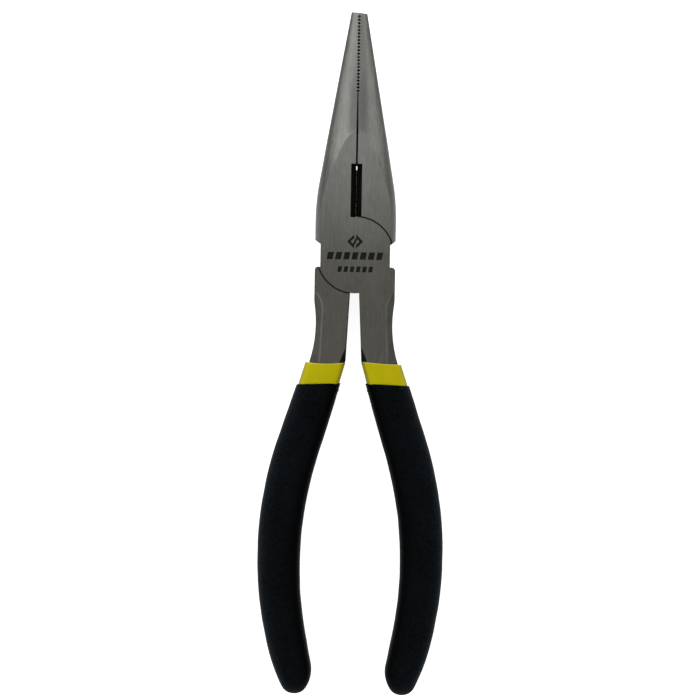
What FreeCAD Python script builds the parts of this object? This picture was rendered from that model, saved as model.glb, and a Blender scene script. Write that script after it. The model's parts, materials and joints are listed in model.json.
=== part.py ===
"""Needle nose pliers, lying flat: two forged levers on a flush rivet, with double-coated handles.

Frame: +Z is the rivet's axis and points away from the surface that the pliers lie on, +Y points to the
tips of the jaws and +X to the right. The origin is below the middle of the pliers, on that surface.
Everything is drawn about the rivet first, with the joint's middle plane at Z = 0, and each sub-part's
Placement then carries it to that frame. The front lever holds the left jaw and the right handle. The rear
lever is the same forging turned half a turn about Y, so it holds the right jaw and the left handle.
"""

import FreeCAD
import Part
import Sketcher
import math
import os

SIZES = {
    # Joint: two round laps, one in front of the other, on a flush rivet.
    "head_thickness": 11.0,
    "lap_radius": 11.3,
    "lap_side_gap": 0.46,
    "lap_face_gap": 0.04,
    "waist_half_width": 10.4,
    "rivet_radius": 3.0,
    "rivet_head_radius": 4.2,
    "rivet_head_depth": 1.6,
    "rivet_play": 0.04,
    # Nose: elliptical sections at these distances from the rivet, then a straight taper to the tip.
    "shoulder_1": 3.0,
    "shoulder_1_half_width": 12.1,
    "shoulder_1_half_height": 12.05,
    "shoulder_2": 9.0,
    "shoulder_2_half_width": 12.1,
    "shoulder_2_half_height": 11.9,
    "shoulder_3": 15.0,
    "shoulder_3_half_width": 11.93,
    "shoulder_3_half_height": 11.0,
    "shoulder_4": 20.0,
    "shoulder_4_half_width": 11.4,
    "shoulder_4_half_height": 9.6,
    "shoulder_5": 25.0,
    "shoulder_5_half_width": 10.57,
    "shoulder_5_half_height": 8.0,
    "shoulder_6": 30.5,
    "shoulder_6_half_width": 9.65,
    "shoulder_6_half_height": 6.65,
    "taper_start": 36.5,
    "taper_start_half_width": 8.64,
    "taper_start_half_height": 5.55,
    "taper_end": 73.5,
    "taper_end_half_width": 2.25,
    "taper_end_half_height": 1.65,
    # Jaws: their meeting faces, the slanted teeth and the bevelled edges between teeth and cutter.
    "front_tip": 72.93,
    "front_tip_slope": 0.1,
    "rear_tip": 72.45,
    "rear_tip_slope": -0.1,
    "tip_half_width": 2.36,
    "jaw_half_width": 12.1,
    "jaw_face_gap": 0.003,
    "jaw_shoulder": 3.25,
    "jaw_shoulder_slope": 0.73,
    "tooth_count": 23,
    "tooth_pitch": 1.05,
    "tooth_depth": 0.5,
    "tooth_land": 0.04,
    "tooth_slant": 16.0,
    "teeth_start": 47.4,
    "relief_end": 48.6,
    "relief_gap": 0.33,
    "relief_land": 2.6,
    # Wire cutter: a window beside the joint whose bevels meet in two knife edges.
    "cutter_half_width": 1.65,
    "cutter_end": 27.3,
    "cutter_bevel_height": 1.9,
    "cutter_hole_radius": 0.18,
    "cutter_hole_start": 25.6,
    "cutter_hole_end": 26.8,
    # Reins: the steel between the joint and the handles' coats.
    "rein_half_width": 12.03,
    "rein_shoulder": 3.55,
    "rein_corner_radius": 1.1,
    "rein_bulge_radius": 15.0,
    "rein_bulge_y": 12.93,
    "rein_waist_radius": 38.0,
    "rein_waist_x": 11.46,
    "rein_inner_top": 1.35,
    "rein_inner_bottom": 2.35,
    "rein_flare_start": 31.6,
    "rein_flare_x": 3.05,
    "rein_end": 33.9,
    # Facets ground off the reins' corners: a line on the face from start to end, and the fall from there.
    "outer_facet_start_x": 9.25,
    "outer_facet_start_y": -16.4,
    "outer_facet_end_x": 9.9,
    "outer_facet_end_y": -31.4,
    "outer_facet_fall": 0.28,
    "facet_wheel_radius": 22.0,
    "wedge_facet_start_x": 1.9,
    "wedge_facet_start_y": -26.4,
    "wedge_facet_end_x": 4.3,
    "wedge_facet_end_y": -32.4,
    "wedge_facet_fall": 1.0,
    "flash_facet_start_x": 1.62,
    "flash_facet_start_y": -11.3,
    "flash_facet_end_x": 2.62,
    "flash_facet_end_y": -31.6,
    "flash_facet_fall": 1.0,
    # Handles: the coats' outline, bent outwards like a bow.
    "bow_outer_x": -83.45,
    "bow_outer_y": -89.76,
    "bow_outer_radius": 111.28,
    "bow_outer_top_angle": 18.1,
    "bow_end_angle": -14.6,
    "bow_inner_x": -95.82,
    "bow_inner_y": -92.59,
    "bow_inner_top_angle": 16.7,
    "bow_inner_end_angle": -11.28,
    "end_taper_radius": 60.0,
    "end_taper_angle": -26.36,
    "end_tip_radius": 4.25,
    "end_tip_angle": -146.2,
    "end_heel_radius": 9.62,
    "grip_top": 38.6,
    "grip_wall": 0.5,
    "grip_thickness": 13.2,
    "grip_round": 4.1,
    "sleeve_top": 32.35,
    "sleeve_wall": 1.0,
    "collar_end": 43.0,
    "hidden_grip_wall": 1.4,
    "sleeve_thickness": 12.4,
    "sleeve_round": 3.6,
    "tang_top": 29.0,
    "tang_thickness": 8.4,
    "tang_round": 2.2,
}

# The reins' facets: which side of the rein each is on (1 is outside) and which faces have it.
REIN_FACETS = {
    "outer_facet": (1, (1, -1)),
    "wedge_facet": (-1, (1, -1)),
    "flash_facet": (-1, (-1,)),
}
SHOULDERS = 6
OVERSHOOT = 0.5


class Size:
    """A number together with the spreadsheet expression that gives it."""

    def __init__(self, value, text):
        self.value = value
        self.text = text

    def __neg__(self):
        return Size(-self.value, f"(-{self.text})")

    def __add__(self, other):
        other = as_size(other)
        return Size(self.value + other.value, f"({self.text} + {other.text})")

    def __sub__(self, other):
        other = as_size(other)
        return Size(self.value - other.value, f"({self.text} - {other.text})")

    def __rsub__(self, other):
        return as_size(other) - self

    def __mul__(self, other):
        other = as_size(other)
        return Size(self.value * other.value, f"({self.text} * {other.text})")

    def __truediv__(self, other):
        other = as_size(other)
        return Size(self.value / other.value, f"({self.text} / {other.text})")

    __radd__ = __add__
    __rmul__ = __mul__


def as_size(number):
    """Make a Size of a plain number, and leave a Size alone."""
    if isinstance(number, Size):
        return number
    return Size(float(number), f"({float(number)})")


def root(size):
    return Size(math.sqrt(size.value), f"sqrt({size.text})")


def cosine(degrees):
    return Size(math.cos(math.radians(degrees.value)), f"cos({degrees.text})")


def sine(degrees):
    return Size(math.sin(math.radians(degrees.value)), f"sin({degrees.text})")


def polar(centre, radius, degrees):
    """The point at an angle on a circle."""
    return (centre[0] + radius * cosine(degrees), centre[1] + radius * sine(degrees))


doc = FreeCAD.newDocument("needle_nose_pliers")
sheet = doc.addObject("Spreadsheet::Sheet", "sizes")
for row, (alias, number) in enumerate(SIZES.items(), start=1):
    sheet.set(f"A{row}", alias)
    sheet.set(f"B{row}", str(number))
    sheet.setAlias(f"B{row}", alias)
doc.recompute()


def size(alias):
    """The named driving dimension, read from the spreadsheet."""
    return Size(float(sheet.get(alias)), f"sizes.{alias}")


def bind(obj, name, expression):
    """Tie a property of an object, or a sketch's constraint, to the spreadsheet."""
    obj.setExpression(name, as_size(expression).text)


# ---------------------------------------------------------------- helpers for sketches and bodies


def new_body(name):
    return doc.addObject("PartDesign::Body", name)


def new_sketch(body, name, plane="XY_Plane"):
    """A sketch on one of the body's own origin planes."""
    sketch = body.newObject("Sketcher::SketchObject", name)
    for feature in body.Origin.OriginFeatures:
        if feature.Role == plane:
            sketch.AttachmentSupport = [(feature, "")]
    sketch.MapMode = "FlatFace"
    return sketch


def pin_point(sketch, edge, point, place):
    """Hold a sketch point at a place that is bound to the spreadsheet."""
    for kind, coordinate in zip(("DistanceX", "DistanceY"), place):
        coordinate = as_size(coordinate)
        index = sketch.addConstraint(Sketcher.Constraint(kind, -1, 1, edge, point, coordinate.value))
        bind(sketch, f"Constraints[{index}]", coordinate)


def draw_outline(sketch, start, steps):
    """Draw a closed outline from start.

    A step is an end point for a straight line, or (end point, radius, side) for an arc: with side 1 the
    arc turns left on its way, with side -1 it turns right. Every arc is less than half a circle.
    """
    here = start
    edges = []
    for step in steps:
        end, radius, side = step if len(step) == 3 else (step, None, 0)
        a = FreeCAD.Vector(as_size(here[0]).value, as_size(here[1]).value, 0)
        b = FreeCAD.Vector(as_size(end[0]).value, as_size(end[1]).value, 0)
        if radius is None:
            edge = sketch.addGeometry(Part.LineSegment(a, b))
            edges.append((edge, 1, 2))
        else:
            chord = b - a
            reach = math.sqrt(radius.value**2 - chord.Length**2 / 4)
            left = FreeCAD.Vector(-chord.y, chord.x, 0).normalize()
            centre = (a + b) * 0.5 + left * (side * reach)
            first, last = (a, b) if side > 0 else (b, a)
            begin = math.atan2(first.y - centre.y, first.x - centre.x)
            finish = math.atan2(last.y - centre.y, last.x - centre.x)
            circle = Part.Circle(centre, FreeCAD.Vector(0, 0, 1), radius.value)
            edge = sketch.addGeometry(Part.ArcOfCircle(circle, begin, finish))
            edges.append((edge, 1, 2) if side > 0 else (edge, 2, 1))
            index = sketch.addConstraint(Sketcher.Constraint("Radius", edge, radius.value))
            bind(sketch, f"Constraints[{index}]", radius)
        pin_point(sketch, edges[-1][0], edges[-1][1], here)
        here = end
    for number, (edge, _, last) in enumerate(edges):
        following, first, _ = edges[(number + 1) % len(edges)]
        sketch.addConstraint(Sketcher.Constraint("Coincident", edge, last, following, first))


def pad(body, sketch, name, length, symmetric=False, offset_plane=None):
    """Pad a sketch: upwards by length, or half the length to each side."""
    feature = body.newObject("PartDesign::Pad", name)
    feature.Profile = sketch
    feature.SideType = "Symmetric" if symmetric else "One side"
    bind(feature, "Length", length)
    if offset_plane is not None:
        bind(sketch, "AttachmentOffset.Base.z", offset_plane)
    body.Tip = feature
    return feature


def boolean(kind, name, base, *tools):
    """A Part boolean of whole objects: Cut takes one tool, MultiFuse and MultiCommon any number."""
    feature = doc.addObject(f"Part::{kind}", name)
    if kind == "Cut":
        feature.Base = base
        feature.Tool = tools[0]
    else:
        feature.Shapes = [base, *tools]
    return feature


def round_long_edges(body, feature, name, half_thickness, top, radius):
    """Round the outline's edges on both faces, except the edges across the open top end."""
    doc.recompute()
    chosen = []
    for number, edge in enumerate(feature.Shape.Edges, start=1):
        box = edge.BoundBox
        on_face = abs(abs(box.ZMin) - half_thickness) < 1e-4 and box.ZLength < 1e-4
        at_top = box.YMin > top - 1e-3
        if on_face and not at_top:
            chosen.append(f"Edge{number}")
    fillet = body.newObject("PartDesign::Fillet", name)
    fillet.Base = (feature, chosen)
    bind(fillet, "Radius", radius)
    body.Tip = fillet
    return fillet


# ---------------------------------------------------------------- the levers


def nose_section(prefix, place):
    """The ellipse across the nose at a named place."""
    section = doc.addObject("Part::Ellipse", f"{prefix}_{place}")
    bind(section, "MajorRadius", size(f"{place}_half_width"))
    bind(section, "MinorRadius", size(f"{place}_half_height"))
    section.Placement = FreeCAD.Placement(FreeCAD.Vector(), FreeCAD.Rotation(FreeCAD.Vector(1, 0, 0), 90))
    bind(section, "Placement.Base.y", size(place))
    return section


def loft(name, sections, ruled):
    feature = doc.addObject("Part::Loft", name)
    feature.Sections = sections
    feature.Solid = True
    feature.Ruled = ruled
    return feature


def nose(prefix):
    """The forged nose before it is split: a curved shoulder, then a straight taper to the tip."""
    places = [f"shoulder_{number}" for number in range(1, SHOULDERS + 1)]
    places += ["taper_start", "taper_end"]
    sections = [nose_section(prefix, place) for place in places]
    shoulder = loft(f"{prefix}_shoulder", sections[:-1], False)
    taper = loft(f"{prefix}_taper", sections[-2:], True)
    return boolean("MultiFuse", f"{prefix}_nose", shoulder, taper)


def jaw_blank(prefix, half):
    """The left jaw's outline, straight through the head's thickness, with its cut-back shoulder."""
    body = new_body(f"{prefix}_jaw_blank")
    sketch = new_sketch(body, f"{prefix}_jaw_outline")
    outside = size("jaw_half_width") + OVERSHOOT
    waist = size("waist_half_width")
    shoulder = size("jaw_shoulder")
    rise = (outside - waist) * size("jaw_shoulder_slope")
    parting = -size("jaw_face_gap")
    tip = size(f"{half}_tip")
    slope = size(f"{half}_tip_slope")
    inner_tip = tip - slope * (size("tip_half_width") + parting)
    outer_tip = tip + slope * (outside - size("tip_half_width"))
    draw_outline(
        sketch,
        (parting, shoulder),
        [(parting, inner_tip), (-outside, outer_tip), (-outside, shoulder + rise), (-waist, shoulder),
         (parting, shoulder)],
    )
    pad(body, sketch, f"{prefix}_jaw_pad", size("head_thickness"), symmetric=True)
    return body


def across_jaws(prefix, name, outline, start, end):
    """A cutter with an outline in the XZ plane, from one distance along the jaws to another."""
    body = new_body(f"{prefix}_{name}")
    sketch = new_sketch(body, f"{prefix}_{name}_section", "XZ_Plane")
    draw_outline(sketch, outline[0], [*outline[1:], outline[0]])
    feature = pad(body, sketch, f"{prefix}_{name}_pad", end - start)
    feature.Reversed = True
    bind(sketch, "AttachmentOffset.Base.z", -start)
    return body


def parting_relief(prefix):
    """The bevels along the jaw's inner edges, between the teeth and the cutter."""
    face = size("head_thickness") / 2 + OVERSHOOT
    wide = -size("relief_gap")
    narrow = -size("jaw_face_gap")
    land = size("relief_land")
    outline = [
        (OVERSHOOT, -face), (OVERSHOOT, face), (wide, face), (narrow, land), (narrow, -land), (wide, -face)
    ]
    return across_jaws(prefix, "relief", outline, size("cutter_end") - OVERSHOOT, size("relief_end"))


def tooth_grooves(prefix, slant):
    """V grooves across the jaw's gripping face: one, repeated along the jaw, at a slant."""
    body = new_body(f"{prefix}_teeth")
    sketch = new_sketch(body, f"{prefix}_groove_outline")
    face = -size("jaw_face_gap")
    depth = face - size("tooth_depth")
    low = size("teeth_start")
    pitch = size("tooth_pitch")
    land = pitch * size("tooth_land")
    draw_outline(
        sketch,
        (OVERSHOOT, low),
        [(OVERSHOOT, low + pitch), (face, low + pitch - land), (depth, low + pitch / 2),
         (face, low + land), (OVERSHOOT, low)],
    )
    groove = pad(body, sketch, f"{prefix}_groove_pad", size("head_thickness"), symmetric=True)
    groove.UseCustomVector = True
    groove.Direction = FreeCAD.Vector(0, 0, 1)
    bind(groove, "Direction.y", sine(slant) / cosine(slant))
    pattern = body.newObject("PartDesign::LinearPattern", f"{prefix}_groove_pattern")
    pattern.Originals = [groove]
    pattern.Direction = (sketch, ["V_Axis"])
    bind(pattern, "Length", pitch * (size("tooth_count") - 1))
    bind(pattern, "Occurrences", size("tooth_count"))
    body.Tip = pattern
    return body


def cutter_window(prefix):
    """The half of the cutter's window in this jaw: open at both faces, with a knife edge between."""
    wall = -size("cutter_half_width")
    edge = -size("jaw_face_gap")
    bevel = size("cutter_bevel_height")
    face = size("head_thickness") / 2 + OVERSHOOT
    outline = [
        (OVERSHOOT, -face), (OVERSHOOT, face), (wall, face), (wall, bevel), (edge, 0), (wall, -bevel),
        (wall, -face),
    ]
    return across_jaws(prefix, "cutter", outline, size("lap_radius"), size("cutter_end"))


def cutter_hole(prefix):
    """The slim hole at the knife edges' far end."""
    body = new_body(f"{prefix}_cutter_hole")
    sketch = new_sketch(body, f"{prefix}_cutter_hole_outline")
    radius = size("cutter_hole_radius")
    low = size("cutter_hole_start")
    high = size("cutter_hole_end")
    draw_outline(
        sketch,
        (OVERSHOOT, low),
        [(OVERSHOOT, high), (-radius / 2, high), ((-radius, high - radius), radius, 1),
         (-radius, low + radius), ((-radius / 2, low), radius, 1), (OVERSHOOT, low)],
    )
    pad(body, sketch, f"{prefix}_cutter_hole_pad", size("head_thickness"), symmetric=True)
    return body


def lap_disc(prefix):
    """The round lap in front of the middle plane, with its two flat sides at the waist."""
    body = new_body(f"{prefix}_lap")
    sketch = new_sketch(body, f"{prefix}_lap_outline")
    radius = size("lap_radius")
    side = size("waist_half_width")
    corner = root(radius * radius - side * side)
    draw_outline(
        sketch,
        (side, -corner),
        [(side, corner), ((0, radius), radius, 1), ((-side, corner), radius, 1), (-side, -corner),
         ((0, -radius), radius, 1), ((side, -corner), radius, 1)],
    )
    gap = size("lap_face_gap") / 2
    pad(body, sketch, f"{prefix}_lap_pad", size("head_thickness") / 2 - gap, offset_plane=gap)
    return body


def rein(prefix):
    """The right rein's outline, from its shoulder at the waist to the handle's coats."""
    body = new_body(f"{prefix}_rein")
    sketch = new_sketch(body, f"{prefix}_rein_outline")
    outside = size("rein_half_width")
    top = -size("rein_shoulder")
    corner = size("rein_corner_radius")
    bulge = size("rein_bulge_radius")
    waist = size("rein_waist_radius")
    bulge_y = -size("rein_bulge_y")
    end = -size("rein_end")
    inner = size("rein_inner_top")
    across = size("rein_waist_x") + waist - outside + bulge
    drop = root((waist + bulge) * (waist + bulge) - across * across)
    share = bulge / (waist + bulge)
    meeting = (outside - bulge + across * share, bulge_y - drop * share)
    below_waist = end - bulge_y + drop
    end_x = size("rein_waist_x") + waist - root(waist * waist - below_waist * below_waist)
    draw_outline(
        sketch,
        (inner, top),
        [(inner, -size("lap_radius")), (size("rein_inner_bottom"), -size("rein_flare_start")),
         (size("rein_flare_x"), end), (end_x, end), (meeting, waist, -1), ((outside, bulge_y), bulge, 1),
         (outside, top - corner), ((outside - corner, top), corner, 1), (inner, top)],
    )
    pad(body, sketch, f"{prefix}_rein_pad", size("head_thickness"), symmetric=True)
    return body


def handle_end_centres():
    """The centres of the three arcs round a handle's end: its outer taper, its tip and its inner heel."""
    bow = (size("bow_outer_x"), size("bow_outer_y"))
    tip_radius = size("end_tip_radius")
    taper_reach = size("bow_outer_radius") - size("end_taper_radius")
    taper = polar(bow, taper_reach, size("bow_end_angle"))
    tip = polar(taper, size("end_taper_radius") - tip_radius, size("end_taper_angle"))
    heel = polar(tip, tip_radius - size("end_heel_radius"), size("end_tip_angle"))
    return taper, tip, heel


def handle_layer(prefix, layer, inset, top, thickness, rounding):
    """One layer of the right handle: the bow outline moved inwards by inset, with rounded edges."""
    body = new_body(f"{prefix}_{layer}_layer")
    sketch = new_sketch(body, f"{prefix}_{layer}_outline")
    outer_centre = (size("bow_outer_x"), size("bow_outer_y"))
    inner_centre = (size("bow_inner_x"), size("bow_inner_y"))
    _, tip_centre, heel_centre = handle_end_centres()
    top_angle = size("bow_outer_top_angle")
    inner_top = size("bow_inner_top_angle")
    inner_end = size("bow_inner_end_angle")
    along_x = (heel_centre[0] - inner_centre[0]) * cosine(inner_end)
    along_y = (heel_centre[1] - inner_centre[1]) * sine(inner_end)

    outer_radius = size("bow_outer_radius") - inset
    taper_radius = size("end_taper_radius") - inset
    tip_radius = size("end_tip_radius") - inset
    heel_radius = size("end_heel_radius") - inset
    inner_radius = along_x + along_y - heel_radius
    outer_start = polar(outer_centre, outer_radius, top_angle)
    outer_end = polar(outer_centre, outer_radius, size("bow_end_angle"))
    taper_end = polar(tip_centre, tip_radius, size("end_taper_angle"))
    tip_end = polar(tip_centre, tip_radius, size("end_tip_angle"))
    inner_corner = polar(heel_centre, -heel_radius, inner_end)
    inner_low = polar(inner_centre, inner_radius, inner_end)
    inner_high = polar(inner_centre, inner_radius, inner_top)
    outer_top_x = outer_start[0] - (top - outer_start[1]) * sine(top_angle) / cosine(top_angle)
    inner_top_x = inner_high[0] - (top - inner_high[1]) * sine(inner_top) / cosine(inner_top)
    draw_outline(
        sketch,
        (outer_top_x, top),
        [(inner_top_x, top), inner_high, (inner_low, inner_radius, -1), inner_corner,
         (tip_end, heel_radius, 1), (taper_end, tip_radius, 1), (outer_end, taper_radius, 1),
         (outer_start, outer_radius, 1), (outer_top_x, top)],
    )
    feature = pad(body, sketch, f"{prefix}_{layer}_pad", thickness, symmetric=True)
    round_long_edges(body, feature, f"{prefix}_{layer}_rounding", thickness.value / 2, top.value, rounding)
    return body


def sleeve_layer(hand):
    """The first coat with the tang's room still full: an even skin, thicker at its showing collar."""
    top = -size("sleeve_top")
    thickness = size("sleeve_thickness")
    skins = size("hidden_grip_wall") - size("grip_wall")
    full = handle_layer(hand, "collar", size("grip_wall"), top, thickness, size("sleeve_round"))
    reach = size("collar_end")
    block = doc.addObject("Part::Box", f"{hand}_collar_reach")
    for side in ("Length", "Width", "Height"):
        bind(block, side, reach)
    bind(block, "Placement.Base.x", -reach / 4)
    bind(block, "Placement.Base.y", -reach)
    bind(block, "Placement.Base.z", -reach / 2)
    collar = boolean("MultiCommon", f"{hand}_collar", full, block)
    skin = handle_layer(
        hand, "skin", size("hidden_grip_wall"), top, thickness - skins * 2, size("sleeve_round") - skins
    )
    return boolean("MultiFuse", f"{hand}_sleeve_form", collar, skin)


def lap_recess(prefix):
    """Room for the other lever's lap behind the middle plane."""
    cylinder = doc.addObject("Part::Cylinder", f"{prefix}_recess")
    bind(cylinder, "Radius", size("lap_radius") + size("lap_side_gap"))
    bind(cylinder, "Height", size("head_thickness"))
    bind(cylinder, "Placement.Base.z", size("lap_face_gap") / 2 - size("head_thickness"))
    return cylinder


def rivet_form(name, play):
    """The rivet, or with play its hole: a shank with a countersunk head at each face."""
    body = new_body(name)
    sketch = new_sketch(body, f"{name}_half_section", "XZ_Plane")
    face = size("head_thickness") / 2
    shank = size("rivet_radius") + play
    head = size("rivet_head_radius") + play
    neck = face - size("rivet_head_depth")
    draw_outline(
        sketch,
        (0, -face),
        [(head, -face), (shank, -neck), (shank, neck), (head, face), (0, face), (0, -face)],
    )
    revolution = body.newObject("PartDesign::Revolution", f"{name}_revolution")
    revolution.Profile = sketch
    revolution.ReferenceAxis = (sketch, ["V_Axis"])
    revolution.Angle = 360
    body.Tip = revolution
    return body


def facet_cutters(prefix):
    """Blocks that grind the rein's long corners off, from each facet's start towards the handle."""
    blocks = []
    reach = size("head_thickness") * 4
    for place, (side, faces) in REIN_FACETS.items():
        start_x, start_y = size(f"{place}_start_x").value, size(f"{place}_start_y").value
        end_x, end_y = size(f"{place}_end_x").value, size(f"{place}_end_y").value
        fall = size(f"{place}_fall").value
        for face in faces:
            z = face * size("head_thickness").value / 2
            start = FreeCAD.Vector(start_x, start_y, z)
            end = FreeCAD.Vector(end_x, end_y, z)
            along = (end - start).normalize()
            normal = along.cross(FreeCAD.Vector(side, 0, -face * fall)).normalize()
            if normal.z * face < 0:
                normal = normal * -1
            turn = FreeCAD.Rotation(along, normal.cross(along), normal, "ZXY")
            block = doc.addObject("Part::Box", f"{prefix}_{place}_{'front' if face > 0 else 'rear'}")
            bind(block, "Length", reach)
            bind(block, "Width", reach)
            bind(block, "Height", reach / 4)
            corner = FreeCAD.Vector(0, reach.value / 2, 0)
            block.Placement = FreeCAD.Placement(start - turn.multVec(corner), turn)
            blocks.append(block)
            if side > 0:
                blocks.append(facet_wheel(block))
    return blocks


def facet_wheel(block):
    """The grinding wheel at a facet's start, as a cylinder that lets the facet run out softly."""
    radius = size("facet_wheel_radius")
    wheel = doc.addObject("Part::Cylinder", f"{block.Name}_wheel")
    bind(wheel, "Radius", radius)
    bind(wheel, "Height", size("head_thickness") * 4)
    on_edge = FreeCAD.Rotation(FreeCAD.Vector(1, 0, 0), -90)
    raised = FreeCAD.Placement(FreeCAD.Vector(0, 0, radius.value), on_edge)
    wheel.Placement = block.Placement.multiply(raised)
    return wheel


def lever(name, half, play, slant):
    """A whole lever: left jaw, front lap and right rein with its tang, as one forging."""
    blank = boolean("MultiCommon", f"{name}_jaw", nose(name), jaw_blank(name, half))
    for cut in (parting_relief(name), tooth_grooves(name, slant), cutter_window(name), cutter_hole(name)):
        blank = boolean("Cut", f"{cut.Label}_cut", blank, cut)
    rein_body = rein(name)
    for cutter in facet_cutters(name):
        rein_body = boolean("Cut", f"{cutter.Label}_cut", rein_body, cutter)
    coats = size("hidden_grip_wall") + size("sleeve_wall")
    tang = handle_layer(name, "tang", coats, -size("tang_top"), size("tang_thickness"), size("tang_round"))
    shank = boolean("MultiFuse", f"{name}_shank", rein_body, tang)
    forging = boolean("MultiFuse", f"{name}_forging", blank, shank)
    with_recess = boolean("Cut", f"{name}_recess_cut", forging, lap_recess(name))
    with_lap = boolean("MultiFuse", f"{name}_with_lap", with_recess, lap_disc(name))
    drilled = boolean("Cut", f"{name}_drilled", with_lap, rivet_form(f"{name}_bore", play))
    return drilled, shank


# ---------------------------------------------------------------- the whole tool

grip_bottom = handle_end_centres()[1][1] - size("end_tip_radius")
pivot_y = -(size("front_tip") + grip_bottom) / 2
pivot_z = size("grip_thickness") / 2
FRONT = FreeCAD.Rotation()
TURNED = FreeCAD.Rotation(FreeCAD.Vector(0, 1, 0), 180)
sub_parts = []


def finish_part(feature, label, turn):
    """Name a sub-part and carry it from the rivet's frame to the pliers' own frame."""
    feature.Label = label
    feature.Placement = FreeCAD.Placement(FreeCAD.Vector(), turn)
    bind(feature, "Placement.Base.y", pivot_y)
    bind(feature, "Placement.Base.z", pivot_z)
    sub_parts.append(feature)


for half, hand, turn, play, slant in (
    ("front", "right", FRONT, as_size(0), size("tooth_slant")),
    ("rear", "left", TURNED, size("rivet_play"), -size("tooth_slant")),
):
    steel, shank = lever(f"{half}_half", half, play, slant)
    sleeve = sleeve_layer(hand)
    grip = handle_layer(
        hand, "grip", as_size(0), -size("grip_top"), size("grip_thickness"), size("grip_round")
    )
    finish_part(steel, f"{half}_half", turn)
    finish_part(boolean("Cut", f"{hand}_sleeve_shell", sleeve, shank), f"{hand}_sleeve", turn)
    finish_part(boolean("Cut", f"{hand}_grip_shell", grip, sleeve), f"{hand}_grip", turn)

finish_part(rivet_form("rivet", as_size(0)), "joint_rivet", FRONT)
doc.recompute()

for obj in doc.Objects:
    if "Invalid" in obj.State or "Error" in obj.State:
        raise RuntimeError(f"{obj.Label} failed: {obj.State}")
os.makedirs("parts", exist_ok=True)
for feature in sub_parts:
    shape = feature.Shape
    if shape.isNull() or not shape.isValid() or len(shape.Solids) != 1:
        raise RuntimeError(f"{feature.Label} is not one valid solid")
for feature in sub_parts:
    feature.Shape.exportStep(f"parts/{feature.Label}.step")
    box = feature.Shape.BoundBox
    print(f"{feature.Label}: {feature.Shape.Volume / 1000:.2f} cm3,", box)
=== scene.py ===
"""Looks of the needle nose pliers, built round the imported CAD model. Metres, +Z up, +Y to the tips."""

import json
import math

import bmesh
import bpy
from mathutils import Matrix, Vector


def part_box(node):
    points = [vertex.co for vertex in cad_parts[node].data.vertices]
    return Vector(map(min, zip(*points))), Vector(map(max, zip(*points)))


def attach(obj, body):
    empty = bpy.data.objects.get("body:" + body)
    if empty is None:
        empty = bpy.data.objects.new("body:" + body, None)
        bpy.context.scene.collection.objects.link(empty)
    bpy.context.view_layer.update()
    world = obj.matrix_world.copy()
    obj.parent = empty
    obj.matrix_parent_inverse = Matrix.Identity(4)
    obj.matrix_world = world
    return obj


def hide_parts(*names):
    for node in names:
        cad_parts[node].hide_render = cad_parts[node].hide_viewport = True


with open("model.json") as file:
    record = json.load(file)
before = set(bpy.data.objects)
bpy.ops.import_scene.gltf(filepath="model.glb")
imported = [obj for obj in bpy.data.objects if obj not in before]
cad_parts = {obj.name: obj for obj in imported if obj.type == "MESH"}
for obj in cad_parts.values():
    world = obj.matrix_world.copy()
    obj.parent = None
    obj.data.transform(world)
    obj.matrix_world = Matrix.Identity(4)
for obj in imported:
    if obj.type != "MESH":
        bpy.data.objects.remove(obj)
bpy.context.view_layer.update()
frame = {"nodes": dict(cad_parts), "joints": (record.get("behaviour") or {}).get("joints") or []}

MM = 0.001
PIVOT = Vector(frame["joints"][0]["pos_m"])
HEAD_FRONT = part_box("front_half")[1].z

STEEL_NODES = ("front_half", "rear_half", "joint_rivet")
HANDS = {"right": "front_lever", "left": "rear_lever"}
OUTWARD = {"right": 1.0, "left": -1.0}


# ---------------------------------------------------------------- shader helpers

EDGE_RADIUS = 0.14 * MM


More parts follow.
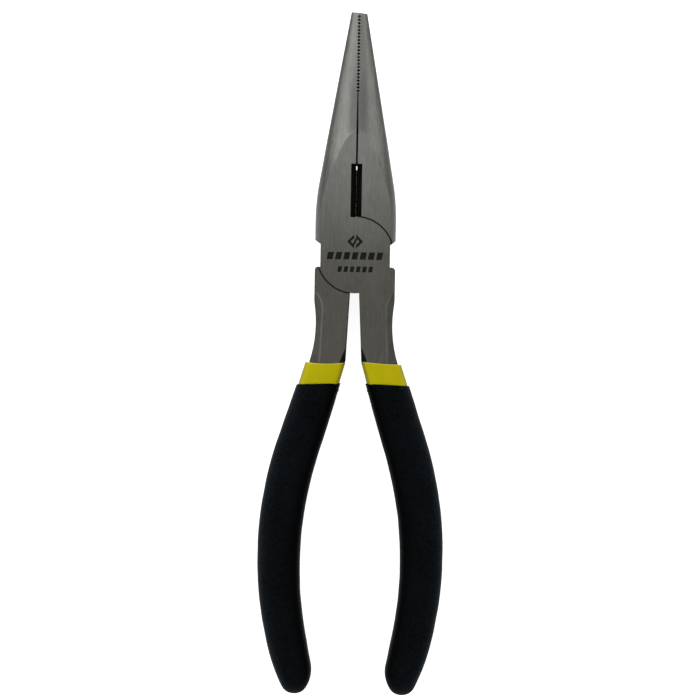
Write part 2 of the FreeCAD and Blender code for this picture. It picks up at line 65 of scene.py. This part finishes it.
class Shader:
    """A new material's node tree, with short ways to add and join its nodes."""

    def __init__(self, name):
        self.material = bpy.data.materials.new(name)
        self.material.use_nodes = True
        self.nodes = self.material.node_tree.nodes
        self.links = self.material.node_tree.links
        self.bsdf = self.nodes["Principled BSDF"]

    def add(self, kind, inputs=None, **settings):
        """A new node; inputs are sockets to join or values to set, settings are its own options."""
        node = self.nodes.new(kind)
        for key, value in settings.items():
            setattr(node, key, value)
        for key, value in (inputs or {}).items():
            self.put(node, key, value)
        return node

    def put(self, node, key, value):
        if isinstance(value, bpy.types.NodeSocket):
            self.links.new(value, node.inputs[key])
        else:
            node.inputs[key].default_value = value

    def maths(self, operation, first, second=0.0):
        return self.add("ShaderNodeMath", {0: first, 1: second}, operation=operation).outputs[0]

    def total(self, first, *others):
        for other in others:
            first = self.maths("ADD", first, other)
        return first

    def product(self, first, *others):
        for other in others:
            first = self.maths("MULTIPLY", first, other)
        return first

    def object_coordinates(self):
        return self.add("ShaderNodeTexCoord").outputs["Object"]

    def part_of(self, vector, axis):
        return self.add("ShaderNodeSeparateXYZ", {"Vector": vector}).outputs[axis]

    def place(self, axis):
        """Where the point is along one axis of the frame, in metres."""
        return self.part_of(self.object_coordinates(), axis)

    def facing(self, axis):
        """How far the surface faces along one axis, from -1 to 1."""
        return self.part_of(self.add("ShaderNodeTexCoord").outputs["Normal"], axis)

    def flatness(self):
        """1 where the surface faces straight up or down, 0 where it is upright."""
        return self.maths("ABSOLUTE", self.facing("Z"))

    def noise(self, scale, detail=2.0):
        """Noise between 0 and 1 whose features are 1/scale metres long along each axis."""
        inputs = {"Vector": self.object_coordinates(), "Scale": scale}
        stretched = self.add("ShaderNodeMapping", inputs).outputs["Vector"]
        inputs = {"Vector": stretched, "Scale": 1.0, "Detail": detail}
        return self.add("ShaderNodeTexNoise", inputs).outputs["Fac"]

    def spread(self, value, low, high, to_low=0.0, to_high=1.0, kind="LINEAR"):
        """value from low to high, mapped to to_low to to_high and held there outside them."""
        inputs = {
            "Value": value, "From Min": low, "From Max": high, "To Min": to_low, "To Max": to_high,
        }
        return self.add("ShaderNodeMapRange", inputs, interpolation_type=kind).outputs["Result"]

    def smooth(self, value, low, high, to_low=0.0, to_high=1.0):
        """The same as spread, with a soft start and end."""
        return self.spread(value, low, high, to_low, to_high, "SMOOTHSTEP")

    def vary(self, noise, least, most, reach=0.2):
        """noise mapped to least to most; it is nearly always within reach of its middle, 0.5."""
        return self.spread(noise, 0.5 - reach, 0.5 + reach, least, most)

    def blend(self, share, first, second):
        """The first colour where share is 0, the second where it is 1."""
        node = self.add("ShaderNodeMix", {"Factor": share}, data_type="RGBA")
        colour_a, colour_b, mixed_colour = 6, 7, 2
        self.put(node, colour_a, first)
        self.put(node, colour_b, second)
        return node.outputs[mixed_colour]

    def scaled(self, colour, factor):
        """colour with its brightness multiplied by the factor socket."""
        node = self.add("ShaderNodeVectorMath", operation="SCALE")
        self.put(node, 0, colour if isinstance(colour, bpy.types.NodeSocket) else colour[:3])
        self.put(node, "Scale", factor)
        return node.outputs[0]

    def rounded_edges(self):
        """The normal with sharp edges softened over a small radius."""
        return self.add("ShaderNodeBevel", {"Radius": EDGE_RADIUS}, samples=4).outputs["Normal"]

    def bump(self, height, distance, normal=None, strength=1.0):
        inputs = {"Height": height, "Distance": distance, "Strength": strength}
        if normal is not None:
            inputs["Normal"] = normal
        return self.add("ShaderNodeBump", inputs).outputs["Normal"]

    def surface(self, **values):
        """Sets the shader's sockets; underscores in a name stand for spaces."""
        for key, value in values.items():
            self.put(self.bsdf, key.replace("_", " "), value)
        return self.material


def rgb(red, green, blue):
    return (red, green, blue, 1.0)


# ---------------------------------------------------------------- steel materials

GROUND_JAWS_PAINTED_LIGHT = rgb(0.236, 0.240, 0.222)
GROUND_HANDLES_PAINTED_SHADE = rgb(0.108, 0.104, 0.089)
FORGED_SIDES_AND_PAINTED_SHADE = rgb(0.056, 0.055, 0.050)
FORGED_FACET = rgb(0.083, 0.078, 0.068)
FACET_PAINTED_HIGHLIGHT = rgb(0.134, 0.130, 0.116)
OXIDE_AND_PAINTED_SHADE = rgb(0.0034, 0.0060, 0.0086)
ETCHED = rgb(0.0095, 0.0095, 0.0095)

# Depths of the grinding lines, the forging's pits and the scale.
GRIND_DEPTH = 0.004 * MM
GRIND_STRENGTH = 0.6
PIT_DEPTH = 0.01 * MM
SCALE_DEPTH = 0.02 * MM

# Painted light: along the tool, the steel's colour goes from darker at the handles to brighter at the jaws,
# a little unevenly, standing in for the light that falls off away from the tips.
PAINTED_LIGHT_FALLOFF = (PIVOT.y - 13.0 * MM, PIVOT.y + 38.0 * MM)
PAINTED_LIGHT_RAGGED = 3.0 * MM

# The flatness over which dark forged sides turn into ground faces, and the roughness of each; the dark sides
# are also painted shade, widened where the nose's rounded flanks turn away.
GROUND_FLATNESS = (0.52, 0.95)
FORGED_ROUGHNESS, GROUND_ROUGHNESS = 0.50, 0.36

# The distance from the tool's middle plane over which the facets get a painted highlight along their upper
# edge.
PAINTED_HIGHLIGHT_FROM = (HEAD_FRONT - PIVOT.z - 0.24 * MM, HEAD_FRONT - PIVOT.z - 0.04 * MM)

# The nose's flanks: painted shade on all of them, and on the right one painted shade at its foot and painted
# light further round.
SLOPE_FLATNESS = (0.80, 0.985)
SLOPE_SHADE = 0.87
RIGHT_FOOT = (0.02, 0.12)
RIGHT_FOOT_SHADE = 0.12
RIGHT_FLANK = (0.22, 0.45)
RIGHT_FLANK_LIGHT = 0.20

# The painted shade along the parting line: its middle and sides across the tool, its start and end along it.
PATCH_MIDDLE = 0.1 * MM
PATCH_SIDES = (1.6 * MM, 3.6 * MM)
PATCH_START = (PIVOT.y + 35.5 * MM, PIVOT.y + 38.5 * MM)
PATCH_END = (PIVOT.y + 45.0 * MM, PIVOT.y + 60.0 * MM)
PATCH_SHADE = 0.72


def slope_painted_shade(s):
    """Painted shade: the nose's flanks are a little darker than its flats, the right one darkest beside the
    flat, with painted light further round.
    """
    foot = s.smooth(s.facing("X"), *RIGHT_FOOT)
    flank = s.smooth(s.facing("X"), *RIGHT_FLANK)
    lightened, darkened = s.product(flank, RIGHT_FLANK_LIGHT), s.product(foot, RIGHT_FOOT_SHADE)
    right = s.maths("SUBTRACT", lightened, darkened)
    return s.total(s.spread(s.flatness(), *SLOPE_FLATNESS, SLOPE_SHADE, 1.0), right)


def parting_painted_shade(s):
    """Painted shade: a darker patch along the parting line between the jaws, just past the end of the head's
    flat.
    """
    aside = s.maths("ABSOLUTE", s.maths("SUBTRACT", s.place("X"), PATCH_MIDDLE))
    across = s.smooth(aside, *PATCH_SIDES, 1.0, 0.0)
    start = s.smooth(s.place("Y"), *PATCH_START)
    end = s.smooth(s.place("Y"), *PATCH_END, 1.0, 0.0)
    return s.spread(s.product(across, start, end), 0.0, 1.0, 1.0, PATCH_SHADE)


def ground_steel():
    """Forged steel, ground along its length: bright faces and dark forged sides that are partly painted
    shade, painted light brighter towards the tips, and painted shade on the nose's flanks and along the
    parting line.
    """
    s = Shader("ground_steel_faces")
    fine = s.noise((4600.0, 420.0, 4600.0))
    coarse = s.noise((1500.0, 130.0, 1500.0), detail=3.0)
    patches = s.noise((130.0, 60.0, 130.0), detail=3.0)

    tone = s.total(
        s.vary(fine, 0.87, 1.13, reach=0.25), s.vary(coarse, -0.05, 0.05), s.vary(patches, -0.05, 0.05)
    )
    # Painted light: the faces brighten from the handles to the jaws.
    along = s.total(s.place("Y"), s.vary(patches, -PAINTED_LIGHT_RAGGED, PAINTED_LIGHT_RAGGED, reach=0.5))
    face = s.blend(s.smooth(along, *PAINTED_LIGHT_FALLOFF), GROUND_HANDLES_PAINTED_SHADE, GROUND_JAWS_PAINTED_LIGHT)
    # Painted shade on the nose's flanks and along the parting line darkens the faces.
    face = s.scaled(face, s.product(tone, slope_painted_shade(s), parting_painted_shade(s)))

    # Dark forged sides, partly painted shade where the surface turns away from facing up.
    ragged = s.total(s.flatness(), s.vary(coarse, -0.06, 0.06, reach=0.3))
    ground = s.smooth(ragged, *GROUND_FLATNESS)
    rough = s.spread(ground, 0.0, 1.0, FORGED_ROUGHNESS, GROUND_ROUGHNESS)
    side = s.scaled(FORGED_SIDES_AND_PAINTED_SHADE, s.vary(patches, 0.7, 1.3, reach=0.25))

    lines = s.total(fine, s.product(coarse, 1.5))
    return s.surface(
        Base_Color=s.blend(ground, side, face),
        Roughness=s.total(s.vary(fine, -0.04, 0.04), rough),
        Metallic=1.0,
        Normal=s.bump(lines, GRIND_DEPTH, s.rounded_edges(), GRIND_STRENGTH),
    )


def forged_steel():
    """The facets along the reins' outer corners: dull and darker, with a painted highlight along their upper
    edge.
    """
    s = Shader("forged_steel_facets")
    patches = s.noise((420.0, 160.0, 420.0), detail=4.0)
    pits = s.noise((2400.0, 2400.0, 2400.0), detail=3.0)
    depth = s.maths("ABSOLUTE", s.maths("SUBTRACT", s.place("Z"), PIVOT.z))
    # Painted highlight along the facets' upper edge.
    tone = s.blend(s.smooth(depth, *PAINTED_HIGHLIGHT_FROM), FORGED_FACET, FACET_PAINTED_HIGHLIGHT)
    return s.surface(
        Base_Color=s.scaled(tone, s.vary(patches, 0.82, 1.18)),
        Roughness=s.vary(pits, 0.42, 0.54),
        Metallic=1.0,
        Normal=s.bump(pits, PIT_DEPTH, s.rounded_edges()),
    )


def black_oxide_and_painted_shade():
    """Black heat scale inside the cutter and on the reins, also used as painted shade in the tooth valleys
    and the joint's narrow gaps.
    """
    s = Shader("black_oxide_and_painted_shade")
    scale = s.noise((900.0, 700.0, 900.0), detail=4.0)
    return s.surface(
        Base_Color=s.scaled(OXIDE_AND_PAINTED_SHADE, s.vary(scale, 0.5, 1.6)),
        Roughness=s.vary(scale, 0.42, 0.60),
        Specular_IOR_Level=0.08,
        Normal=s.bump(scale, SCALE_DEPTH),
    )


def etched_black():
    """Dark laser marking: matte and slightly uneven along the grinding lines."""
    s = Shader("laser_etched_black")
    lines = s.noise((4200.0, 160.0, 4200.0))
    return s.surface(
        Base_Color=s.scaled(ETCHED, s.vary(lines, 0.6, 1.5)),
        Roughness=s.vary(lines, 0.50, 0.65),
        Specular_IOR_Level=0.06,
    )


# ---------------------------------------------------------------- vinyl materials

YELLOW_DEEP = rgb(0.440, 0.382, 0.0005)
YELLOW_BRIGHT = rgb(0.500, 0.440, 0.0005)
YELLOW_WALL_PAINTED_SHADE = rgb(0.250, 0.225, 0.010)
YELLOW_RIM_PAINTED_HIGHLIGHT = rgb(0.600, 0.590, 0.180)
BLACK = rgb(0.0031, 0.0043, 0.0054)
PEEL_DEPTH = 0.015 * MM
GRAIN_DEPTH = 0.04 * MM

# The flatness over which the collar's painted shade on its upright walls turns into its faces, and how its
# rim's painted highlight faces the tips.
WALL_SHADE_FLATNESS = (0.30, 0.85)
RIM_HIGHLIGHT_FACING = (0.35, 0.85)

# Painted light and shade on the grips: their brightness, from the side that faces the other handle to the
# side in the palm.
SIDE_LIGHT_FACING = (-0.7, 0.9)
SIDE_LIGHT_BRIGHTNESS = (0.15, 1.7)


def yellow_vinyl():
    """Dipped vinyl: a cloudy yellow with an orange-peel surface, painted shade on its upright walls and a
    painted highlight on its rim.
    """
    s = Shader("yellow_dipped_vinyl")
    clouds = s.noise((160.0, 160.0, 160.0), detail=3.0)
    peel = s.noise((1100.0, 1100.0, 1100.0))
    body = s.blend(s.vary(clouds, 0.0, 1.0), YELLOW_DEEP, YELLOW_BRIGHT)
    # Painted shade on the upright walls.
    coat = s.blend(s.smooth(s.flatness(), *WALL_SHADE_FLATNESS), YELLOW_WALL_PAINTED_SHADE, body)
    return s.surface(
        # Painted highlight on the rim where it faces the tips.
        Base_Color=s.blend(s.smooth(s.facing("Y"), *RIM_HIGHLIGHT_FACING), coat, YELLOW_RIM_PAINTED_HIGHLIGHT),
        Roughness=s.vary(peel, 0.36, 0.46),
        Specular_IOR_Level=0.07,
        Normal=s.bump(peel, PEEL_DEPTH),
    )


def black_vinyl():
    """Matte dipped vinyl: near black, faintly blue, grained, with painted light on the palm's side and
    painted shade on the side that faces the other handle.
    """
    s = Shader("black_matte_vinyl")
    clouds = s.noise((90.0, 55.0, 90.0), detail=3.0)
    grain = s.noise((1700.0, 1700.0, 1700.0))
    outward = s.product(s.maths("SIGN", s.place("X")), s.facing("X"))
    # Painted light on the outer side, painted shade on the side that faces the other handle.
    painted_side_light = s.spread(outward, *SIDE_LIGHT_FACING, *SIDE_LIGHT_BRIGHTNESS)
    mottle = s.total(s.vary(grain, 0.3, 1.7, reach=0.25), s.vary(clouds, -0.25, 0.25))
    return s.surface(
        Base_Color=s.scaled(BLACK, s.product(painted_side_light, mottle)),
        Roughness=s.total(s.vary(grain, -0.05, 0.05), s.vary(clouds, 0.52, 0.60)),
        Specular_IOR_Level=0.018,
        Normal=s.bump(grain, GRAIN_DEPTH),
    )


# ---------------------------------------------------------------- CAD steel nodes

REINS_BELOW = PIVOT.y - 11.0 * MM
UPRIGHT = 0.35
FACET = 0.985
GROUND_FINISH, OXIDE_AND_SHADE_FINISH, FORGED_FINISH = range(3)


def steel_finish(centre, normal):
    """Which finish a face has: black scale inside the cutter and reins, black as painted shade in the
    joint's gaps and the teeth, forged on outer facets.
    """
    inward = normal.x * centre.x < 0
    slope = abs(normal.z)
    if centre.y < REINS_BELOW and slope < FACET:
        return OXIDE_AND_SHADE_FINISH if inward else FORGED_FINISH
    # Inward upright walls turn black: real scale in the cutter, painted shade in the joint's gaps and the
    # tooth valleys.
    if slope < UPRIGHT and inward:
        return OXIDE_AND_SHADE_FINISH
    return GROUND_FINISH


def coat_steel(*finishes):
    """Gives the three carried steel nodes their finishes; the shapes stay as the CAD made them."""
    for node in STEEL_NODES:
        mesh = frame["nodes"][node].data
        mesh.materials.clear()
        for finish in finishes:
            mesh.materials.append(finish)
        for face in mesh.polygons:
            face.material_index = steel_finish(face.center, face.normal)


# ---------------------------------------------------------------- making and dressing pieces

def add_object(name, data):
    """A new object in the scene that holds this mesh, light or camera."""
    made = bpy.data.objects.new(name, data)
    bpy.context.scene.collection.objects.link(made)
    return made


def mesh_object(name, bm):
    """A new object with the bmesh's shape; the bmesh is freed."""
    mesh = bpy.data.meshes.new(name)
    bm.to_mesh(mesh)
    bm.free()
    return add_object(name, mesh)


def join_rings(bm, lower, upper):
    """A band of four-cornered faces between two closed rings of vertices."""
    for i in range(len(lower)):
        j = (i + 1) % len(lower)
        bm.faces.new((lower[i], lower[j], upper[j], upper[i]))


def loft(name, rings, close_first=False):
    """A smooth mesh object through equal rings of points; close_first caps the first ring."""
    bm = bmesh.new()
    made = [[bm.verts.new(point) for point in ring] for ring in rings]
    for lower, upper in zip(made, made[1:]):
        join_rings(bm, lower, upper)
    if close_first:
        ring = made[0]
        middle = bm.verts.new(sum((v.co for v in ring), Vector()) / len(ring))
        for i in range(len(ring)):
            bm.faces.new((ring[i], ring[(i + 1) % len(ring)], middle))
    bmesh.ops.recalc_face_normals(bm, faces=bm.faces)
    for face in bm.faces:
        face.smooth = True
    return mesh_object(name, bm)


def dress(piece, material, body, slot, *nodes):
    """Gives a piece its material and body, and hides the CAD nodes that it stands for, if any; slot is not
    used.
    """
    piece.data.materials.append(material)
    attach(piece, body)
    if nodes:
        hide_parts(*nodes)


# ---------------------------------------------------------------- rings across a handle

RING_POINTS = 72
RIM_STEPS = 6


def span_at(node, y):
    """The lowest and highest x where the plane at y cuts a CAD node."""
    mesh = frame["nodes"][node].data
    xs = []
    for edge in mesh.edges:
        first, second = (mesh.vertices[i].co for i in edge.vertices)
        low, high = sorted((first.y, second.y))
        if low <= y <= high and high > low:
            share = (y - first.y) / (second.y - first.y)
            xs.append(first.x + share * (second.x - first.x))
    return min(xs), max(xs)


def superellipse(count, power):
    """Points of a unit superellipse, anticlockwise from +x; a higher power is squarer."""
    points = []
    for i in range(count):
        angle = 2.0 * math.pi * i / count
        c, s = math.cos(angle), math.sin(angle)
        points.append((
            math.copysign(abs(c) ** (2.0 / power), c),
            math.copysign(abs(s) ** (2.0 / power), s),
        ))
    return points


def oval_ring(y, x_low, x_high, half_height, power, tilt=0.0, rise=0.0):
    """A squarish oval across a handle at y; tilt slants it, and rise lifts its two sides."""
    centre_x, half_width = (x_low + x_high) / 2, (x_high - x_low) / 2
    return [
        Vector((
            centre_x + half_width * u,
            y + tilt * half_width * u + rise * u * u,
            PIVOT.z + half_height * v,
        ))
        for u, v in superellipse(RING_POINTS, power)
    ]


def rolled_rim(top, x_low, x_high, half_height, radius, depth, **shape):
    """Rings that round over an open end at top, then one that goes down inside it by depth."""
    rings = []
    for i in range(1, RIM_STEPS + 1):
        angle = math.pi * i / RIM_STEPS
        inset = radius * (1 - math.cos(angle))
        y = top - radius + radius * math.sin(angle)
        rings.append(oval_ring(y, x_low + inset, x_high - inset, half_height - inset, **shape))
    rings.append([point - Vector((0, depth, 0)) for point in rings[-1]])
    return rings


# ---------------------------------------------------------------- black grips

GRIP_STATIONS = 96
EVEN_SPACING = 0.35  # the rest of the spacing crowds the stations towards the domed end
GRIP_POWER = 3.1
GRIP_DOME = 8.0 * MM
LIP_RADIUS = 0.25 * MM
LIP_DEPTH = 2.2 * MM
MOUTH_SLOPE = math.tan(math.radians(2.4))
MOUTH_FADE = 12.0 * MM
END_MARGIN = 0.02 * MM
WAVE_HEIGHT = 0.05 * MM
WAVE_FADE = 20.0 * MM
LONG_WAVE, SHORT_WAVE = 310.0, 730.0  # radians per metre
SHORT_WAVE_SHARE = 0.6
WAVE_PHASE = 1.3


def dome(distance, reach):
    """0 at the very end and 1 from reach inwards, round like a quarter circle."""
    share = min(distance / reach, 1.0)
    return math.sqrt(max(0.0, 1.0 - (1.0 - share) ** 2))


def hand_wave(y, phase):
    """The dip-coated surface is never quite even: a few hundredths of a millimetre."""
    short = SHORT_WAVE_SHARE * math.sin(y * SHORT_WAVE + 2.0 * phase)
    return WAVE_HEIGHT * (math.sin(y * LONG_WAVE + phase) + short)


def grip(hand):
    """The soft handle grip: curved body, rounded lip at the mouth, domed end."""
    node = hand + "_grip"
    low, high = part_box(node)
    half_height = (high.z - low.z) / 2
    bottom, top = low.y + END_MARGIN, high.y
    tilt = -MOUTH_SLOPE * OUTWARD[hand]
    rings = []
    for i in range(GRIP_STATIONS + 1):
        share = i / GRIP_STATIONS
        eased = 1.0 - math.cos(share * math.pi / 2)
        spaced = EVEN_SPACING * share + (1.0 - EVEN_SPACING) * eased
        y = bottom + (top - LIP_RADIUS - bottom) * spaced
        x_low, x_high = span_at(node, y)
        wave = hand_wave(y, WAVE_PHASE * OUTWARD[hand]) * dome(y - bottom, WAVE_FADE)
        height = half_height * dome(y - bottom, GRIP_DOME) - abs(wave)
        fade = max(0.0, 1.0 - (top - y) / MOUTH_FADE)
        rings.append(
            oval_ring(y, x_low - min(wave, 0), x_high - max(wave, 0), height, GRIP_POWER, tilt * fade)
        )
    mouth = span_at(node, top - LIP_RADIUS)
    rings += rolled_rim(top, *mouth, half_height, LIP_RADIUS, LIP_DEPTH, power=GRIP_POWER, tilt=tilt)
    return loft(hand + "_grip_skin", rings, close_first=True)


# ---------------------------------------------------------------- yellow collars

COLLAR_STEPS = 32
COLLAR_POWER = 4.2
COLLAR_RIM = 0.30 * MM
COLLAR_HIDDEN = 1.6 * MM  # how far it reaches down inside the grip
COLLAR_TUCK = 0.45 * MM  # how much narrower it is there
COLLAR_DIP = 1.4 * MM

# The dipped edges aren't straight: each rim's slant, how far its sides rise, and a lift of the whole rim.
RIM_TILT = {"right": -0.062, "left": 0.0}
RIM_RISE = {"right": 0.20 * MM, "left": 0.45 * MM}
RIM_LIFT = {"right": 0.12 * MM, "left": 0.0}


def collar(hand):
    """The yellow sleeve where it shows above the grip: a thin-walled tube with a rounded rim."""
    node = hand + "_sleeve"
    low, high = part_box(node)
    grip_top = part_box(hand + "_grip")[1].y
    half_height = (high.z - low.z) / 2
    tilt, rise = RIM_TILT[hand], RIM_RISE[hand]
    top = high.y + RIM_LIFT[hand] - rise / 2
    bottom = grip_top - COLLAR_HIDDEN
    rings = []
    for i in range(COLLAR_STEPS + 1):
        share = i / COLLAR_STEPS
        y = bottom + (top - COLLAR_RIM - bottom) * share
        tuck = COLLAR_TUCK * min(1.0, max(0.0, (grip_top - y) / (COLLAR_HIDDEN / 2)))
        x_low, x_high = span_at(node, y)
        shown = max(0.0, (y - grip_top) / (top - grip_top))
        rings.append(oval_ring(
            y, x_low + tuck, x_high - tuck, half_height - tuck, COLLAR_POWER, tilt * shown, rise * shown
        ))
    mouth = span_at(node, min(top, high.y) - COLLAR_RIM)
    shape = {"power": COLLAR_POWER, "tilt": tilt, "rise": rise}
    rings += rolled_rim(top, *mouth, half_height, COLLAR_RIM, COLLAR_DIP, **shape)
    return loft(hand + "_collar", rings)


# ---------------------------------------------------------------- etched mark

MARK_DEPTH = 0.03 * MM
MARK_PROUD = 0.012 * MM

# The mark's outlines are drawn in mm from the pivot.
SIGN_PLACE = (-0.1, 4.05)
SIGN_HALF = 2.4
SIGN_LINE = 0.75
SIGN_GAP = 0.28
SIGN_STROKE = {"width": 0.7, "height": 1.9, "lean": 0.8}
MARK_ROWS = (
    {"count": 7, "left": -8.5, "step": 2.45, "bottom": -1.35, "width": 1.75, "height": 2.2, "lean": 0.45},
    {"count": 6, "left": -5.3, "step": 1.85, "bottom": -5.1, "width": 1.15, "height": 1.7, "lean": 0.3},
)


def prism(bm, points):
    """A thin plate on the front face; the outline is anticlockwise, in mm from the pivot."""
    top = HEAD_FRONT + MARK_PROUD
    lower = [bm.verts.new((PIVOT.x + x * MM, PIVOT.y + y * MM, top - MARK_DEPTH)) for x, y in points]
    upper = [bm.verts.new((v.co.x, v.co.y, top)) for v in lower]
    bm.faces.new(upper)
    bm.faces.new(list(reversed(lower)))
    join_rings(bm, lower, upper)


def slanted_block(bm, left, bottom, width, height, lean):
    prism(bm, [
        (left, bottom), (left + width, bottom),
        (left + width + lean, bottom + height), (left + lean, bottom + height),
    ])


def diamond_sign(bm):
    """A diamond outline in two bent halves with a slanted stroke between them."""
    x, y = SIGN_PLACE
    outer, inner = SIGN_HALF, SIGN_HALF - SIGN_LINE * math.sqrt(2)
    for side in (-1, 1):
        edge = x + side * SIGN_GAP
        points = [
            (edge, y + outer - SIGN_GAP), (x + side * outer, y), (edge, y - outer + SIGN_GAP),
            (edge, y - inner + SIGN_GAP), (x + side * inner, y), (edge, y + inner - SIGN_GAP),
        ]
        prism(bm, points if side < 0 else points[::-1])
    left = x - (SIGN_STROKE["width"] + SIGN_STROKE["lean"]) / 2
    slanted_block(bm, left, y - SIGN_STROKE["height"] / 2, **SIGN_STROKE)


def etched_mark(material):
    """A made-up maker's panel with no letters: a diamond, a row of broad blocks, a row of small ones."""
    bm = bmesh.new()
    diamond_sign(bm)
    for row in MARK_ROWS:
        for i in range(row["count"]):
            left = row["left"] + i * row["step"]
            slanted_block(bm, left, row["bottom"], row["width"], row["height"], row["lean"])
    dress(mesh_object("etched_mark", bm), material, "front_lever", "ground_steel")


# ---------------------------------------------------------------- studio

FLOOR_SIZE = 8.0
FLOOR_CELLS = 4
FLOOR_GLOW = 0.85
SKY_LEVEL = 0.92
SKY_SLOPE = Vector((-0.18, 0.15, -0.22))

# Each light's place and size in metres, and its power in watts.
SOFTBOXES = {
    "left_softbox": ((-0.95, 0.35, 0.75), (0.9, 1.3), 1.5),
    "right_softbox": ((1.0, 0.25, 0.75), (0.8, 1.2), 0.75),
    "tip_softbox": ((-0.05, 0.62, 0.75), (0.9, 0.5), 0.6),
}

# The camera looks straight down at this point, turned a little, from where its view is this wide in metres.
CAMERA_AIM = PIVOT + Vector((-1.065, -28.37, 0.0)) * MM
CAMERA_TURN = math.radians(1.0)
CAMERA_LENS = 200.0
CAMERA_SENSOR = 36.0
CAMERA_WIDTH = 0.21


def floor():
    """A plain pale floor that glows a little, so that it shows nearly white."""
    s = Shader("pale_floor")
    speckle = s.noise((14.0, 14.0, 14.0))
    s.surface(
        Base_Color=s.blend(speckle, rgb(0.86, 0.86, 0.86), rgb(0.88, 0.88, 0.88)),
        Roughness=0.9,
        Specular_IOR_Level=0.1,
        Emission_Color=rgb(1.0, 1.0, 1.0),
        Emission_Strength=FLOOR_GLOW,
    )
    bm = bmesh.new()
    bmesh.ops.create_grid(bm, x_segments=FLOOR_CELLS, y_segments=FLOOR_CELLS, size=FLOOR_SIZE / 2)
    piece = mesh_object("studio_floor", bm)
    piece.data.materials.append(s.material)


def tent():
    """An even white tent, a little brighter to the left and past the tips."""
    world = bpy.data.worlds.new("studio_world")
    world.use_nodes = True
    nodes, links = world.node_tree.nodes, world.node_tree.links
    background = nodes["Background"]
    background.inputs["Color"].default_value = rgb(1.0, 1.0, 1.0)
    direction = nodes.new("ShaderNodeTexCoord").outputs["Generated"]
    lean = nodes.new("ShaderNodeVectorMath")
    lean.operation = "DOT_PRODUCT"
    links.new(direction, lean.inputs[0])
    lean.inputs[1].default_value = SKY_SLOPE
    level = nodes.new("ShaderNodeMath")
    level.inputs[1].default_value = SKY_LEVEL
    links.new(lean.outputs["Value"], level.inputs[0])
    links.new(level.outputs[0], background.inputs["Strength"])
    bpy.context.scene.world = world


def softbox(name, place, size, power):
    """A weak rectangular light that looks at the pivot."""
    light = bpy.data.lights.new(name, "AREA")
    light.shape = "RECTANGLE"
    light.size, light.size_y = size
    light.energy = power
    box = add_object(name, light)
    box.location = place
    box.rotation_euler = (PIVOT - Vector(place)).to_track_quat("-Z", "Y").to_euler()
    box.visible_camera = False


def camera():
    """Square above the tool, turned as much as the photograph, with colours shown as they are."""
    lens = bpy.data.cameras.new("photo_camera")
    lens.lens = CAMERA_LENS
    lens.sensor_width = CAMERA_SENSOR
    eye = add_object("photo_camera", lens)
    distance = CAMERA_WIDTH * CAMERA_LENS / CAMERA_SENSOR
    eye.location = CAMERA_AIM + Vector((0.0, 0.0, distance))
    eye.rotation_euler = (0.0, 0.0, CAMERA_TURN)
    bpy.context.scene.camera = eye
    bpy.context.scene.view_settings.view_transform = "Standard"


# ---------------------------------------------------------------- build

coat_steel(ground_steel(), black_oxide_and_painted_shade(), forged_steel())
etched_mark(etched_black())
yellow, black = yellow_vinyl(), black_vinyl()
for hand, body in HANDS.items():
    dress(collar(hand), yellow, body, "yellow_vinyl", hand + "_sleeve")
    dress(grip(hand), black, body, "black_vinyl", hand + "_grip")
floor()
tent()
for name, (place, size, power) in SOFTBOXES.items():
    softbox(name, place, size, power)
camera()
